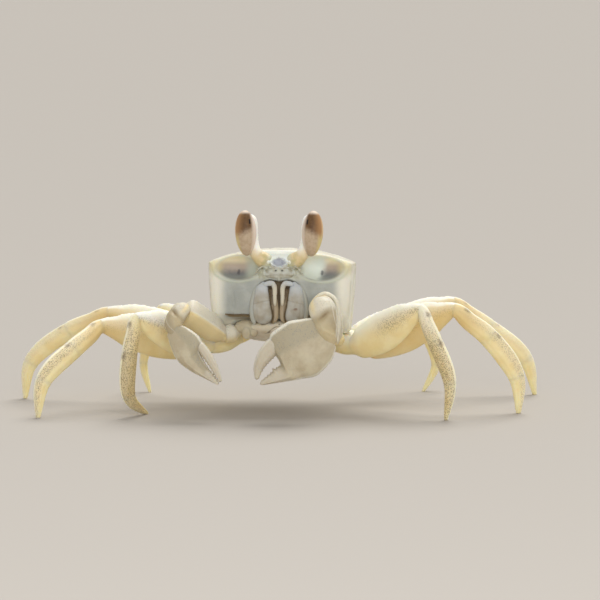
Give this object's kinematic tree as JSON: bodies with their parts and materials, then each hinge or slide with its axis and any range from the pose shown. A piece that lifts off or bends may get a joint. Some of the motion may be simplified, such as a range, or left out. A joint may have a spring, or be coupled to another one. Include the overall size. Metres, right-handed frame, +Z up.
{
  "type": "ghost crab",
  "caption": "Life-size still model of a young pale ghost crab, standing with raised stalked eyes and both claws held low before its mouth.",
  "frame": {"origin": "middle of the standing animal's footprint box, on the floor under the leg tips", "axes": "+Z up, the animal faces -Y, and +X is its own left side"},
  "size_m": [0.0868, 0.0414, 0.0338],
  "materials": {
    "back_shell": "semi-matte granular shell, greyish cream with fine dark specks and a lavender patch on the front",
    "belly_shell": "smooth semi-matte cream-white shell plates",
    "mouthpart": "smooth whitish shell, faintly blue above, with brown hair-lined joints",
    "leg_shell": "translucent semi-matte yellow shell with cream upper edges and fine brown specks",
    "claw_shell": "finely granular whitish shell",
    "eyestalk": "smooth pale cream-yellow shell",
    "eye": "glossy brown cornea over a cream lower half"
  },
  "bodies": {
    "root": {"carapace": "back_shell", "sternum": "belly_shell", "abdomen": "belly_shell", "epistome": "back_shell", "mouthpart_left": "mouthpart", "eye_left": "eye", "eyestalk_left": "eyestalk", "claw_left_base": "claw_shell", "claw_left_merus": "claw_shell", "claw_left_carpus": "claw_shell", "claw_left_palm": "claw_shell", "claw_left_finger": "claw_shell", "leg_left_1_base": "leg_shell", "leg_left_1_merus": "leg_shell", "leg_left_1_carpus": "leg_shell", "leg_left_1_propodus": "leg_shell", "leg_left_1_dactyl": "leg_shell", "leg_left_2_base": "leg_shell", "leg_left_2_merus": "leg_shell", "leg_left_2_carpus": "leg_shell", "leg_left_2_propodus": "leg_shell", "leg_left_2_dactyl": "leg_shell", "leg_left_3_base": "leg_shell", "leg_left_3_merus": "leg_shell", "leg_left_3_carpus": "leg_shell", "leg_left_3_propodus": "leg_shell", "leg_left_3_dactyl": "leg_shell", "leg_left_4_base": "leg_shell", "leg_left_4_merus": "leg_shell", "leg_left_4_carpus": "leg_shell", "leg_left_4_propodus": "leg_shell", "leg_left_4_dactyl": "leg_shell", "mouthpart_right": "mouthpart", "eye_right": "eye", "eyestalk_right": "eyestalk", "claw_right_base": "claw_shell", "claw_right_merus": "claw_shell", "claw_right_carpus": "claw_shell", "claw_right_palm": "claw_shell", "claw_right_finger": "claw_shell", "leg_right_1_base": "leg_shell", "leg_right_1_merus": "leg_shell", "leg_right_1_carpus": "leg_shell", "leg_right_1_propodus": "leg_shell", "leg_right_1_dactyl": "leg_shell", "leg_right_2_base": "leg_shell", "leg_right_2_merus": "leg_shell", "leg_right_2_carpus": "leg_shell", "leg_right_2_propodus": "leg_shell", "leg_right_2_dactyl": "leg_shell", "leg_right_3_base": "leg_shell", "leg_right_3_merus": "leg_shell", "leg_right_3_carpus": "leg_shell", "leg_right_3_propodus": "leg_shell", "leg_right_3_dactyl": "leg_shell", "leg_right_4_base": "leg_shell", "leg_right_4_merus": "leg_shell", "leg_right_4_carpus": "leg_shell", "leg_right_4_propodus": "leg_shell", "leg_right_4_dactyl": "leg_shell"}
  },
  "joints": []
}
